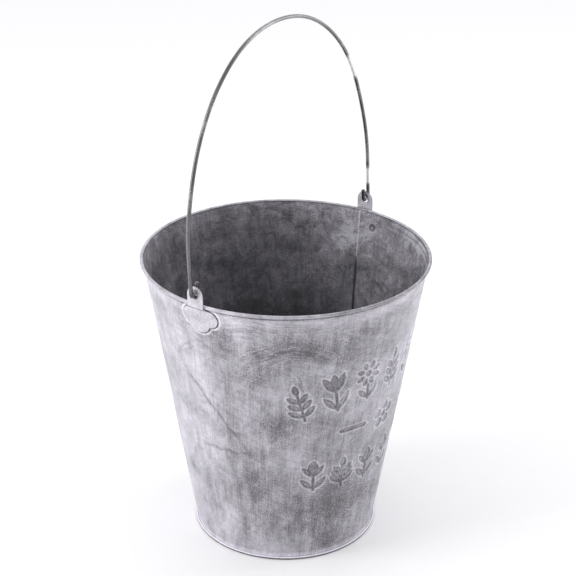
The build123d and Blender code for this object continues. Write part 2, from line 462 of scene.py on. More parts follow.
def sprig(x, y, tall):
    """A stem with pairs of leaves and a leaf at its tip."""
    half = tall / 2
    parts = [stem(x, y, (0, -half), (0, half - 8), 1.4)]
    parts.append(leaf(x, y, (0, half - 12), (0, half), 3.2))
    for i in range(3):
        low = -half + 4 + i * (tall - 17) / 3
        parts.append(mirrored(x, y, (0.6, low), (12.5 - 1.5 * i, low + 9.5), 3.0))
    return joined(*parts)


def tulip(x, y, tall):
    """Three petals on a stem with two long leaves."""
    half = tall / 2
    return joined(
        stem(x, y, (0, -half), (0, half - 14), 1.5),
        leaf(x, y, (0, half - 19), (0, half), 4.2),
        mirrored(x, y, (1.6, half - 19), (10.0, half - 1), 3.5),
        mirrored(x, y, (0.8, -half + 1), (12.5, half - 22), 3.1),
    )


def daisy(x, y, tall):
    """Eight petals round a button, on a short stem with two leaves."""
    half = tall / 2
    head = half - 13
    parts = [disc(x, y, 0, head, 3.3)]
    for i in range(8):
        a = radians(45 * i + 22.5)
        start = (4.8 * cos(a), head + 4.8 * sin(a))
        end = (13.4 * cos(a), head + 13.4 * sin(a))
        parts.append(leaf(x, y, start, end, 2.7))
    parts.append(stem(x, y, (0, -half), (0, head - 13), 1.5))
    parts.append(mirrored(x, y, (0.8, -half + 1), (11.0, head - 14.5), 2.8))
    return joined(*parts)


def bud(x, y, tall):
    """A closed bud between two sepals, on a stem with two leaves."""
    half = tall / 2
    return joined(
        leaf(x, y, (0, half - 17), (0, half), 5.0),
        mirrored(x, y, (1.2, half - 18), (10.0, half - 6), 2.5),
        stem(x, y, (0, -half), (0, half - 17), 1.5),
        mirrored(x, y, (0.8, -half + 1), (12.0, half - 20), 3.0),
    )


def blossom(x, y, size):
    """Five round petals round a button."""
    parts, far = [disc(x, y, 0, 0, size * 0.12)], size * 0.315
    for i in range(5):
        a = radians(90 + 72 * i)
        parts.append(disc(x, y, far * cos(a), far * sin(a), size * 0.165))
    return joined(*parts)


def bar(x, y, size):
    """A flat bar with pointed ends."""
    return np.maximum(np.abs(y), (np.abs(x) + np.abs(y) - size / 2) * 0.7 + 2.4) - 2.4


def garland_height(offset):
    """Middle height of the arched top row at an angle from the front, in degrees."""
    return 190.5 - 0.0053 * offset**2


def lower_height(offset):
    """Middle height of the slightly sagging bottom row."""
    return 94.5 + 0.0015 * offset**2


def motifs():
    """Every motif as (shape, angle from the front, middle height, tilt, size)."""
    top = (sprig, tulip, daisy, sprig, daisy, tulip, sprig)
    for i, shape in enumerate(top):
        offset = (i - 3) * MOTIF_SPACING
        tilt = -0.32 * offset
        yield shape, offset, garland_height(offset), tilt, 40.0
    bottom = (bud, sprig, bud, bud, sprig, bud)
    for i, shape in enumerate(bottom):
        offset = (i - 2.5) * MOTIF_SPACING
        yield shape, offset, lower_height(offset), -0.05 * offset, 33.0
    yield blossom, 0.0, 140.5, 0.0, 30.0
    yield bar, -21.0, 141.0, -1.5, 31.0
    yield bar, 21.0, 141.0, 1.5, 31.0


def emboss(azimuth, z):
    """(height in mm along the outward normal, recess 0..1, ridge 0..1) of the front panel. The
    recess is patina on the floors of the hollows plus a painted shade line just inside their
    edges; the ridge is the raised lip, lightened in colour partly by wash and partly as a painted
    highlight.
    """
    distance = np.full(azimuth.shape, 50.0)
    for shape, offset, middle, tilt, size in motifs():
        across = np.radians(turn_from(azimuth, FRONT + offset)) * wall_radius(middle)
        up = (z - middle) / cos(TAPER)
        c, s = cos(radians(tilt)), sin(radians(tilt))
        x, y = across * c + up * s, up * c - across * s
        near = (np.abs(x) < MOTIF_REACH) & (np.abs(y) < MOTIF_REACH)
        distance[near] = np.minimum(distance[near], shape(x[near], y[near], size))
    sunk = 1 - smooth(distance, -1.0, 0.2)
    aside = np.abs(turn_from(azimuth, FRONT))
    dirt = (0.18 + 0.34 * smooth(aside, 20, 42)) * sunk
    # The raised lip's lightening in the colour is partly wash and partly a painted highlight.
    ridge = bell(distance, 0.8, 0.6)
    # Painted shade: a dark line just inside each hollow's edge, where its wall would shade it.
    corner = bell(distance, -0.85, 0.5)
    return RIDGE_HEIGHT * ridge - EMBOSS_DEPTH * sunk, dirt + 0.9 * corner, ridge


# == Sizes of the ears, which the wall's dirt and dimples follow ==
PLATE = 0.8
TAB_X = 131.0
TAB_HALF = 8.25
NECK_HALF = 9.0
CREASE_Z = HEIGHT - 5.2
JOG = radians(35)
SIDE_LOBE = 8.2
SIDE_LOBE_ACROSS = 9.7
SIDE_LOBE_ALONG = -8.5
BOTTOM_LOBE = 9.4
BOTTOM_LOBE_ALONG = -14.3
HOLE = 2.9
EDGE_ROUND = 0.35
WELD_ACROSS = 13.4
WELD_DROP = 15.2
WELD_ANGLE = np.degrees(WELD_ACROSS / wall_radius(HEIGHT - WELD_DROP))

# == Wall: one sheet from the foot's hook to the curled rim, lapped at the side seam ==
LAP = 3.6
SEAM_TOP = 1.2
SEAM_DRIFT = 0.0194
PANEL_HALF_ANGLE = 60.0
EAR_ZONE = 10.5
FINE_STEP = 0.65
COARSE_ANGLE = 2.4
MEAN_RADIUS = 107
# Where a cloth was wiped round: (azimuth, height, reach, width of the strokes, strength)
SWEEPS = (
    (-143, 186, 46, 15, 1.0),
    (-150, 190, 26, 6, 1.0),
    (-104, 190, 32, 12, 0.55),
    (-182, 196, 30, 12, 0.6),
    (-70, 150, 44, 16, 0.8),
    (20, 205, 38, 14, 0.8),
    (70, 214, 30, 10, 0.8),
    (112, 176, 48, 18, 0.7),
)


def wall_columns():
    """Azimuths across the sheet, from its outer end round to its lapped inner end."""
    start, end = SEAM_TOP - LAP, SEAM_TOP + 360
    fine = np.degrees(FINE_STEP / wall_radius(150))
    low = FRONT + 360 - PANEL_HALF_ANGLE
    high = FRONT + 360 + PANEL_HALF_ANGLE
    lap_start = end - LAP
    near_edge = np.array([-0.45, -0.25, -0.08, 0.08, 0.25, 0.45])
    parts = [
        np.arange(start, SEAM_TOP - 0.5, 0.6),
        SEAM_TOP + near_edge,
        np.arange(SEAM_TOP + 0.9, EAR_ZONE, 0.5),
        np.arange(EAR_ZONE, 180 - EAR_ZONE, COARSE_ANGLE),
        np.arange(180 - EAR_ZONE, 180 + EAR_ZONE, 0.5),
        np.arange(180 + EAR_ZONE, low, COARSE_ANGLE / 2),
        np.arange(low, high, fine),
        np.arange(high, lap_start - 10, COARSE_ANGLE / 2),
        np.arange(lap_start - 10, lap_start - 0.3, 0.5),
        np.array([lap_start - 0.15, lap_start]),
        np.linspace(lap_start + 0.5, end - 0.7, 5),
        end - np.array([0.45, 0.25, 0.08, 0.0]),
    ]
    return np.concatenate(parts), lap_start


def wall_rows():
    """The sheet's section as mid points (radius, height), and where its curl starts."""
    foot_mid = wall_radius(3.2) - SHEET / 2 / cos(TAPER)
    hook_mid = SEAM_RADIUS - SHEET / 2 - SEAM_FOLD
    bend = (hook_mid - foot_mid) / 2
    hook_z = SHEET * 1.5 + GAP + bend
    hook = arc((foot_mid + bend, hook_z), bend, 0, -pi, 7)
    low_rows = np.array([2.2, 3.2, 5, 8, 12, 17, 23, 30, 37, 44, 51, 58, 65])
    fine_rows = np.arange(70, 214, FINE_STEP)
    top_rows = np.concatenate(
        [np.arange(215, 236, 3.0), np.arange(236, 263.5, 1.0), [264.0, 264.7, 265.4, 266.2]]
    )
    z = np.concatenate([low_rows, fine_rows, top_rows])
    radius = np.where(z < 3.3, foot_mid, wall_radius(z) - SHEET / 2 / cos(TAPER))
    wall = np.stack([radius, z], 1)
    curl_radius = BEAD - SHEET / 2 - CURL_TRIM
    start = pi - TAPER
    curl = arc((BEAD_R, BEAD_Z), curl_radius, start, start - CURL, 24)
    top_hook = np.array([[hook_mid, hook_z + 0.8]])
    points = np.concatenate([top_hook, hook, wall, curl])
    return points, len(points) - len(curl)


OUTSIDE_WASH = 0.44
INSIDE_TONE = 0.33
# Painted shadow: the dark line under the bead stands for the shade the bead casts on the wall.
UNDER_BEAD_Z = 264.8  # a dark line in the corner under the bead

# Wiped or rubbed areas, one of them partly painted light: (azimuth, height, half angle, half
# height, change in wash), and for some how far they rise per degree
OUTSIDE_SMUDGES = (
    (-171, 238, 6, 11, -0.28),
    (-163, 242, 3, 12, 0.22),
    (-151, 230, 14, 13, -0.26, 0.4),
    (-129, 226, 13, 10, -0.30, -0.2),
    (-120, 242, 20, 10, -0.18),
    (-106, 220, 14, 12, -0.14),
    (-124, 178, 10, 34, -0.12),
    (-146, 158, 15, 9, -0.12),
    (-106, 140, 7, 14, -0.16),
    (-207, 257, 8, 8, 0.16),
    (-159, 206, 7, 16, -0.24),
    (-147, 144, 5, 18, -0.30),
    (-163, 84, 11, 20, -0.26, -0.3),
    (-112, 60, 24, 22, -0.34, 0.1),
    (-119, 14, 7, 8, -0.36),
    (-120, 80, 8, 9, -0.10),
    (-143, 64, 12, 28, -0.06),
    (-146, 44, 8, 10, 0.10),
    (-116, 78, 8, 8, -0.14),
    (-152, 150, 5, 10, -0.12),
    (-126, 46, 42, 46, -0.19),
    (-130, 250, 30, 6, -0.05),
    (-134, 22, 8, 9, 0.18),
    (-182, 156, 7, 14, 0.12),
    (-139, 259, 8, 5, -0.16),
    (-96, 258, 12, 6, 0.12),
    (-208, 77, 5, 9, -0.20),
    (-206, 244, 4, 12, -0.14),
    (-198, 45, 14, 24, -0.16),
    (-198, 108, 10, 18, -0.08),
    (-182, 168, 17, 2.5, -0.32, -2.4),
    (-178, 118, 14, 1.2, -0.24, 0.1),
    # This broad lighter area on the left side is partly wash and partly painted light where the
    # left softbox falls.
    (-200, 120, 24, 150, 0.12),
    (-185, 190, 6, 50, 0.12),
    (-178, 43, 5, 16, 0.24),
    (-183, 26, 3, 7, 0.18),
    (-141, 118, 8, 14, 0.12),
    (-101, 40, 4, 12, 0.22),
    (-100, 184, 9, 16, 0.12),
    (-70, 200, 14, 70, 0.16),
    (-150, 10, 50, 6, 0.08),
)
INSIDE_SMUDGES = (
    (7, 236, 5, 11, 0.30),
    (-3, 246, 6, 9, 0.18),
    (-6, 230, 4, 8, 0.18),
    (-16, 257, 9, 8, -0.10),
    (-24, 214, 9, 10, 0.14),
    (-20, 186, 16, 26, 0.14),
    (-32, 236, 3, 12, 0.14),
    (-41, 252, 6, 22, 0.20),
    (10, 140, 50, 14, -0.08),
    (26, 150, 11, 12, -0.16),
    (12, 248, 4, 8, -0.14),
    (-12, 255, 6, 7, -0.08),
    (36, 238, 9, 8, 0.10),
    (54, 196, 18, 56, -0.08),
    (104, 226, 20, 30, -0.08),
    (26, 196, 12, 16, 0.08),
    (3.5, 239, 2.4, 8, 0.18),
)


def smudged(azimuth, z, smudges):
    """The sum of the soft-edged smudges at each point."""
    total = np.zeros(np.broadcast_shapes(np.shape(azimuth), np.shape(z)))
    for a, height, half_angle, half_height, change, *rise in smudges:
        turned = turn_from(azimuth, a)
        x = turned / half_angle
        waver = 0.9 * np.sin(turned * 0.7 + height) + 0.5 * np.sin(turned * 1.9)
        y = (z - height - sum(rise) * turned - waver) / half_height
        total += change * np.exp(-(x * x + y * y))
    return total


def ear_distance(across, along):
    """Distance outside the ear's flange of a point of the wall, from the ear's crease."""
    d = disc(np.abs(across), along, SIDE_LOBE_ACROSS, SIDE_LOBE_ALONG, SIDE_LOBE)
    d = np.minimum(d, disc(across, along, 0.0, BOTTOM_LOBE_ALONG, BOTTOM_LOBE))
    return np.minimum(d, np.maximum(np.abs(across) - NECK_HALF, np.abs(along + 5) - 5))


def ear_marks(azimuth, z):
    """Dirt and painted contact shade in the joint round each ear, and the wash gathered just
    outside it.
    """
    marks = 0.0
    for ear in (0, 180):
        across = np.radians(turn_from(azimuth, ear)) * wall_radius(z)
        d = ear_distance(across, (z - CREASE_Z) / cos(TAPER))
        # The dark line in the joint is partly dirt and partly painted contact shade under the
        # plate's edge.
        marks = marks + 0.60 * bell(d, 1.8, 0.7) - 0.70 * bell(d, 0.2, 0.45)
    return marks


def sweep_coordinates(azimuth, z):
    """(distance, way round, strength) of cloth strokes wiped in arcs round a few centres.

    The strokes near the rim run round it. Where two sets meet, the stronger one counts and
    the weaker one fades it.
    """
    around_rim = np.radians(azimuth) * RIM_RADIUS
    wave = 2.2 * np.sin(around_rim / 19) + 1.3 * np.sin(around_rim / 7.5 + 1)
    rim_strength = 0.75 * smooth(z, 226, 256) * (0.7 + 0.3 * np.sin(around_rim / 33))
    strongest = np.stack([(z + wave) * 1.5 * MM, around_rim * MM, rim_strength], -1)
    second = np.zeros(z.shape)
    for a, height, reach, width, most in SWEEPS:
        x = np.radians(turn_from(azimuth, a)) * wall_radius(height)
        y = z - height
        way = np.arctan2(y, x)
        r = np.hypot(x, y) + 2.0 * np.sin(3 * way + a) + 1.0 * np.sin(7 * way)
        uneven = 0.7 + 0.3 * np.sin(2.3 * way + height)
        strength = most * bell(r, reach, width) * uneven * smooth(y, -18, 12)
        second = np.maximum(second, np.minimum(strength, strongest[..., 2]))
        stronger = strength > strongest[..., 2]
        here = np.stack([(r + 200 * height) * MM, way * reach * MM, strength], -1)
        strongest = np.where(stronger[..., None], here, strongest)
    strongest[..., 2] = strongest[..., 2] - 0.8 * second
    return strongest


def outside_wash(azimuth, z):
    """How much wash is left on the outside, 0 to 1, before the fine streaks, with painted light
    added: a lighter band just above the foot, a painted shadow under the bead and painted contact
    shade round the ears.
    """
    wash = OUTSIDE_WASH + 0.04 * np.sin(np.radians(azimuth * 3 + 40)) + 0.03 * np.sin(z / 31)
    # Painted light: the wall just above the foot is lightened against the shade that gathers by
    # the foot.
    above_foot = 1 - smooth(z, 3.0, 7.5)
    wash = wash + smudged(azimuth, z, OUTSIDE_SMUDGES) + 0.45 * above_foot
    # Painted shadow: a dark line on the wall just under the bead.
    wash = wash + 0.14 * smooth(z, 252, 262) - 0.65 * bell(z, UNDER_BEAD_Z, 1.0)
    return wash + ear_marks(azimuth, z)


def inside_wash(azimuth, z, from_seam):
    """How light the bare inside is, 0 to 1, with a painted shadow line along the seam's edge that
    turns into a painted highlight near the top.
    """
    near_seam = bell(turn_from(azimuth, 0), 0, 24) * smooth(z, 140, 250)
    # Painted light along the seam's inner edge: a dark line stands for the shadow of the lapped
    # layer's step, and near the top a bright line for its lit cut edge.
    painted_highlight_above = smooth(z, 210, 232)
    edge = bell(from_seam, 0, 0.50 - 0.24 * painted_highlight_above)
    edge_tone = -0.85 + (1.75 + 0.35 * np.sin(z / 3.1) * np.sin(z / 7.7 + 1)) * painted_highlight_above
    rising = 0.18 * smooth(z, 60, 265) + 0.10 * smooth(z, 235, 268)
    smudges_and_painted_light = smudged(azimuth, z, INSIDE_SMUDGES) + rim_lines_and_highlight(azimuth, z)
    return INSIDE_TONE + rising + 0.10 * near_seam + smudges_and_painted_light + edge * edge_tone


def rim_lines_and_highlight(azimuth, z):
    """Light and dark lines left just under the rim by the rolls, clearest on one side as a painted
    highlight where the left softbox lights the inside.
    """
    # Painted highlight: the lines are clearest on the side of the inside that the left softbox
    # lights.
    clear = smooth(np.cos(np.radians(azimuth + 62)), 0.6, 0.95)
    depth = HEIGHT - z
    lines = 0.30 * bell(depth, 4.5, 1.3) - 0.18 * bell(depth, 7.0, 0.9)
    lines = lines + 0.20 * bell(depth, 9.5, 1.4) + 0.10 * smooth(z, 246, 262)
    return lines * (0.08 + 0.75 * clear)


def bead_wash(azimuth, curl_step):
    """The wash on the bead, with a worn line on top and painted shade where it curls under."""
    to_back = np.cos(np.radians(azimuth - 15))
    worn_line = bell(curl_step, 0.42, 0.06) * (0.55 + 0.45 * to_back)
    wash = 0.54 - 0.08 * to_back - 0.55 * worn_line - 0.10 * bell(curl_step, 0.02, 0.06)
    # Painted shade: the bead is darkened where it curls under and faces down.
    return wash - 0.20 * bell(azimuth, 250, 38) - 0.8 * smooth(curl_step, 0.66, 0.85)


def weld_press(azimuth, z):
    """(lift in mm, change in wash) where each ear's spot weld presses a dimple in the sheet."""
    lift, mark = np.zeros(azimuth.shape), np.zeros(azimuth.shape)
    for ear in (0, 180):
        away = turn_from(azimuth, ear - WELD_ANGLE)
        across = np.radians(away) * wall_radius(HEIGHT - WELD_DROP)
        d = np.hypot(across, z - HEIGHT + WELD_DROP)
        press, rim = 1 - smooth(d, 2.2, 3.6), bell(d, 4.2, 0.6)
        lift += 0.22 * press - 0.10 * rim
        mark += 0.16 * rim - 0.12 * press - 0.36 * bell(d, 2.9, 1.0)
    return lift, mark


def dents(azimuth, z):
    """Slight unevenness of hand-worked sheet, in mm, fading out at the foot and the rim."""
    a = np.radians(azimuth)
    wave = (
        0.22 * np.sin(3 * a + 0.7 + z / 70)
        + 0.16 * np.sin(7 * a - z / 38)
        + 0.12 * np.sin(12 * a + 1.9 + z / 23)
        + 0.08 * np.sin(19 * a + z / 14 + 0.4)
    )
    return wave * smooth(z, 6, 40) * (1 - smooth(z, 225, 252))


def lap_step(columns, lap_start, z):
    """How far the lapped inner end steps in, 0 to 1, before it reaches the outer end."""
    step = smooth(columns, lap_start - 5, lap_start)
    below_curl = 1 - smooth(z, HEIGHT - 4.2, HEIGHT - 2.8)
    above_seam = smooth(z, 3.2, 8)
    in_lap = columns >= lap_start - 0.01
    return step * np.where(in_lap, 1.0, below_curl) * above_seam, int(np.argmax(in_lap))


def build_wall(outside, inside):
    columns, lap_start = wall_columns()
    points, curl_start = wall_rows()
    rows, cols = len(points), len(columns)
    normals = path_normals(points)
    normals[curl_start - 1] = normals[curl_start - 2]
    z = np.broadcast_to(points[:, 1][:, None], (rows, cols))
    from_seam = turn_from(columns, SEAM_TOP)
    on_wall = np.arange(rows)[:, None] < curl_start
    drift = SEAM_DRIFT * np.clip(HEIGHT - z, 0, 264) * bell(from_seam, 0, 25)
    az = columns - drift * on_wall

    lift, recess_patina_and_shade, ridge = emboss(az, z)
    step_in, lap_column = lap_step(columns, lap_start, z)
    weld_lift, weld_mark = weld_press(az, z)
    lift = (lift + dents(az, z) - (SHEET + GAP) * step_in + weld_lift) * on_wall

    keep = np.ones((rows - 1, cols - 1), bool)
    keep[curl_start - 1 :, lap_column - 1 :] = False
    faces, kinds = sheet_faces(rows, cols, keep)
    is_inside = (kinds[:, 0] == 1) & (kinds[:, 1] < curl_start + 1)
    verts = sheet_sides(points, az, lift, normals=normals)
    wall, used = make_object("wall_sheet", verts, faces, [outside, inside], is_inside)

    def both(values):
        return on_both_sides(values, az.shape, used)

    wrap = np.stack([both(np.radians(az)) * MEAN_RADIUS * MM, both(z) * MM, both(0.0)], 1)
    attach(wall, "wrap", wrap)
    low_front = (1 - smooth(z, 60, 120)) * smooth(az, 218, 246)
    grit = np.where(on_wall, 0.9 + 0.7 * low_front, 0.35)
    for name, values in (("recess_patina_and_shade", recess_patina_and_shade), ("ridge", ridge), ("grit", grit)):
        attach(wall, name, both(values))
    lap_line = bell(turn_from(columns, lap_start), 0, 0.35)
    outer = outside_wash(az, z) - 0.40 * lap_line
    inner = inside_wash(az, z, np.broadcast_to(from_seam, az.shape)) + weld_mark
    wash = np.concatenate([outer.ravel(), inner.ravel()])[used]
    curl_step = np.clip(np.arange(rows) - curl_start, 0, None) / (rows - curl_start)
    on_bead = ~both(on_wall)
    wash[on_bead] = both(bead_wash(az, curl_step[:, None]))[on_bead]
    attach(wall, "wash", wash)
    sweep = sweep_coordinates(az, z).reshape(-1, 3)
    attach(wall, "sweep", np.concatenate([sweep, sweep])[used])
    return wall


# == Base: panel, step, standing ring and the fold round the wall's hook ==
PANEL_RISE = 3.0
PANEL_BEND = 1.5
PANEL_EDGE = 71
PANEL_SLOPE = radians(60)
CORNER = 0.7
FOLD_Z = 2.075
BASE_COLUMNS = 420


def base_rows():
    """Mid line of the base sheet from the panel's centre to the fold's inner end."""
    mid = SHEET / 2
    seam_mid = SEAM_RADIUS - mid
    top, bend, slope = mid + PANEL_RISE, PANEL_BEND, PANEL_SLOPE
    flat = np.stack([np.array([0.4, 12, 24, 36, 48, 60, 68]), np.full(7, top)], 1)
    down = arc((PANEL_EDGE, top - bend), bend, pi / 2, pi / 2 - slope, 6)
    run = (PANEL_RISE - 2 * bend * (1 - cos(slope))) / sin(slope)
    start = down[-1] + run * np.array([cos(slope), -sin(slope)])
    centre = start + bend * np.array([sin(slope), cos(slope)])
    out = arc(centre, bend, -pi / 2 - slope, -pi / 2, 6)
    ring = np.array([[78.5, mid], [81.5, mid]])
    corner = arc((seam_mid - CORNER, mid + CORNER), CORNER, -pi / 2, 0, 7)
    fold = arc((seam_mid - SEAM_FOLD, FOLD_Z), SEAM_FOLD, 0, pi, 12)
    tail = fold[-1] - np.array([[0.0, 0.4]])
    return np.concatenate([flat, down, out, ring, corner, fold, tail])


def build_base(outside, inside):
    points = base_rows()
    shape = (len(points), BASE_COLUMNS)
    radius, height = points[:, 0][:, None], points[:, 1][:, None]
    degrees = np.arange(BASE_COLUMNS) * 360 / BASE_COLUMNS
    turn = np.radians(degrees)
    dent = 0.06 * np.sin(5 * turn + 1) + 0.04 * np.sin(11 * turn)
    dent = dent * (height > 2.2) * (radius > 80)
    verts = sheet_sides(points, degrees, raised=np.minimum(dent, 0))
    faces, kinds = sheet_faces(*shape, np.ones((len(points) - 1, BASE_COLUMNS), bool), closed=True)
    seam_start = int(np.argmax(points[:, 0] > SEAM_RADIUS - 0.9))
    is_inside = (kinds[:, 0] == 1) & (kinds[:, 1] < seam_start)
    base, used = make_object("base_sheet", verts, faces, [outside, inside], is_inside)

    def both(values):
        return on_both_sides(values, shape, used)

    r = radius * MM
    wrap = np.stack([both(r * np.cos(turn)), both(r * np.sin(turn)), both(height * MM)], 1)
    attach(base, "wrap", wrap)
    attach(base, "sweep", np.zeros((len(used), 3)))
    for name, value in (("recess_patina_and_shade", 0.0), ("ridge", 0.0), ("grit", 1.0)):
        attach(base, name, both(value))
    # Partly wash gathered on the fold and partly painted light: its upward top is painted bright
    # and its side dark, as if lit from above.
    on_fold = -0.24 + 1.50 * smooth(height, 1.7, 2.3)
    attach(base, "wash", both(np.where(radius > SEAM_RADIUS - 1.0, on_fold, 0.34)))
    return base


# == Ears: a lobed flange on the wall, a crease, a neck over the bead and a tab with a hole ==
EDGE_RINGS = (0.0, 0.05, 0.16, EDGE_ROUND, 0.7)  # depths of the loops just inside each edge
BLANK_STEP = 0.75


def ear_section(along):
    """(x, z) of the plate's middle at a distance above the crease, negative below it."""
    below = np.minimum(along, 0)
    foot_x = wall_radius(CREASE_Z) + (GAP + PLATE / 2) / cos(TAPER)
    run = (TAB_X - foot_x) / cos(JOG)
    cut = 1.0 * tan((pi / 2 - JOG) / 2)
    t = np.clip(along, 0, None)
    on_jog = np.minimum(t, run - cut)
    on_bend = np.clip(t - (run - cut), 0, pi / 2 - JOG)
    on_tab = np.clip(t - (run - cut) - (pi / 2 - JOG), 0, None)
    x = foot_x + below * sin(TAPER) + on_jog * cos(JOG)
    z = CREASE_Z + below * cos(TAPER) + on_jog * sin(JOG)
    x = x + np.sin(JOG + on_bend) - sin(JOG)
    z = z + cos(JOG) - np.cos(JOG + on_bend)
    return x, z + on_tab


def ear_outline():
    """The flat blank's outline as (across, along), starting at the tab's right side."""
    top = tab_reach() + PIVOT_Z
    points = [arc((0, top), TAB_HALF, 0, pi, 40)]
    points.append(np.array([[-TAB_HALF, 7.1], [-NECK_HALF, 0.4]]))
    lobe = (-SIDE_LOBE_ACROSS, SIDE_LOBE_ALONG)
    points.append(arc(lobe, SIDE_LOBE, radians(86), radians(274), 44))
    points.append(arc((0.0, BOTTOM_LOBE_ALONG), BOTTOM_LOBE, radians(195), radians(345), 34))
    left = np.concatenate(points[1:3])
    right = left[::-1] * np.array([-1, 1])
    return np.concatenate([points[0], left, points[3], right])


def tab_reach():
    """Turns a height on the tab into a distance above the crease, by adding this."""
    _, z = ear_section(np.array([15.0]))
    return 15.0 - z[0]


def resample(points, step):
    """The closed outline with evenly spaced points, corners slightly eased."""
    loop = np.concatenate([points, points[:1]])
    length = run_length(loop)
    count = int(length[-1] / step)
    even = walk(loop, length, np.arange(count) * length[-1] / count)
    for _ in range(3):
        even = (np.roll(even, 1, 0) + 2 * even + np.roll(even, -1, 0)) / 4
    return even


def inset(points, depth):
    """The closed outline moved inward, which is to its left, by depth."""
    d = unit(np.roll(points, -1, 0) - np.roll(points, 1, 0))
    return points + depth * np.stack([-d[:, 1], d[:, 0]], 1)


def ear_press(s, t, hole_t):
    """How far the plate's middle is pressed outward, in mm."""
    d = np.hypot(s, t - hole_t) - HOLE
    collar = 0.38 * (1 - smooth(d, 0.15, 1.3))
    weld = 0.12 * (1 - smooth(np.hypot(s + WELD_ACROSS, t + 10.1), 1.4, 2.8))
    return collar - weld


def blank_grid(outline, hole):
    """Staggered points filling the flat blank, clear of its edges."""
    low, high = outline.min(0), outline.max(0)
    step = BLANK_STEP
    gx, gy = np.meshgrid(
        np.arange(low[0], high[0], step), np.arange(low[1], high[1], step * 0.87)
    )
    gx = gx + (np.arange(gx.shape[0]) % 2)[:, None] * step / 2
    grid = np.stack([gx.ravel(), gy.ravel()], 1)
    border = np.concatenate([outline, hole])
    gap = np.min(np.linalg.norm(grid[:, None] - border[None], axis=2), 1)
    inside = [point_in(outline, p) and not point_in(hole, p) for p in grid]
    return grid[(gap > 1.0) & np.array(inside)]


def ear_blank(outline, hole):
    """The flat blank as points, how deep inside the edge each lies, and triangles."""
    rings = [inset(loop, depth) for loop in (outline, hole) for depth in EDGE_RINGS]
    depths = [np.full(len(r), EDGE_RINGS[i % len(EDGE_RINGS)]) for i, r in enumerate(rings)]
    edges, start = [], 0
    for ring in rings:
        n = len(ring)
        edges += [(start + i, start + (i + 1) % n) for i in range(n)]
        start += n
    grid = blank_grid(outline, hole)
    flat = np.concatenate(rings + [grid])
    depth_of = np.concatenate(depths + [np.full(len(grid), 1.0)])
    out = delaunay_2d_cdt([Vector(p) for p in flat], edges, [], 0, 1e-6)
    points = np.array([tuple(v) for v in out[0]])
    depth = np.array([depth_of[o[0]] if o else 1.0 for o in out[3]])
    triangles = []
    for face in out[2]:
        middle = points[list(face)].mean(0)
        if point_in(outline, middle) and not point_in(hole, middle):
            triangles.append(face)
    return points, depth, triangles


def open_edges(triangles):
    """Edges that belong to one triangle only."""
    once = {}
    for face in triangles:
        for i, a in enumerate(face):
            b = face[(i + 1) % len(face)]
            if (b, a) in once:
                del once[(b, a)]
            else:
                once[(a, b)] = True
    return once


def ear_wear_and_hook_shadow(s, t, hole_t):
    """Darker places on the plate: a line along the crease, dirt round the hole, and above the hole
    a painted shadow of the wire's hook.
    """
    crease = 1.3 * bell(t, 0, 0.6)
    rim_of_hole = 0.8 * (1 - smooth(np.hypot(s, t - hole_t) - HOLE, 0.3, 1.6))
    # Painted shadow: the dark patch above the hole stands for the shadow of the wire's hook.
    smudges_and_painted_light = 1.5 * np.exp(-(((t - hole_t - 3.6) / 2.2) ** 2 + (s / 3.6) ** 2) ** 1.5)
    return crease + rim_of_hole + smudges_and_painted_light - 0.35 * smooth(t, 0.8, 4.0)


def build_ear(name, turn, material):
    outline = resample(ear_outline(), 0.5)
    hole_t = PIVOT_Z + tab_reach()
    hole = resample(arc((0, hole_t), HOLE, 2 * pi, 0, 60)[:-1], 0.35)
    points, depth, triangles = ear_blank(outline, hole)
    s, t = points[:, 0], points[:, 1]
    middle = ear_surface(s, t)
    on_across = ear_surface(s + 0.01, t) - ear_surface(s - 0.01, t)
    on_along = ear_surface(s, t + 0.01) - ear_surface(s, t - 0.01)
    normal = unit(np.cross(on_across, on_along))
    round_off = np.clip(1 - depth / EDGE_ROUND, 0, 1)
    half = PLATE / 2 - EDGE_ROUND + EDGE_ROUND * np.sqrt(1 - round_off**2)
    press = ear_press(s, t, hole_t)
    front = middle + normal * (press + half)[:, None]
    back = middle + normal * (press - half)[:, None]
    verts = np.concatenate([front, back])
    c, sn = cos(radians(turn)), sin(radians(turn))
    verts[:, :2] = verts[:, :2] @ np.array([[c, sn], [-sn, c]])
    n = len(points)
    faces = [list(f) for f in triangles] + [[n + i for i in reversed(f)] for f in triangles]
    faces += [[b, a, n + a, n + b] for a, b in open_edges(triangles)]
    ear, used = make_object(name, verts, faces, [material])
    # mark holds wear, dirt and the painted shadow of the wire's hook.
    mark = np.maximum(ear_wear_and_hook_shadow(s, t, hole_t), round_off * 0.7)
    attach(ear, "edge", np.concatenate([mark, mark])[used])
    return ear


def ear_surface(s, t):
    """The plate's middle for a point of the flat blank: wrapped on the wall below the crease."""
    x, z = ear_section(t)
    r = np.minimum(x, wall_radius(CREASE_Z) + 1)
    wrapped = 1 - smooth(t, 0.0, 5.0)
    angle = s / r
    on_wall_x, on_wall_y = r * np.cos(angle), r * np.sin(angle)
    px = x - (r - on_wall_x) * wrapped
    py = s + (on_wall_y - s) * wrapped
    return np.stack([px, py, z], 1)


def point_in(loop, p):
    """True if p is inside the closed outline."""
    x, y = loop[:, 0], loop[:, 1]
    x2, y2 = np.roll(x, -1), np.roll(y, -1)
    crosses = (y > p[1]) != (y2 > p[1])
    with np.errstate(divide="ignore", invalid="ignore"):
        at = x + (p[1] - y) * (x2 - x) / (y2 - y)
    return bool(np.sum(crosses & (p[0] < at)) % 2)


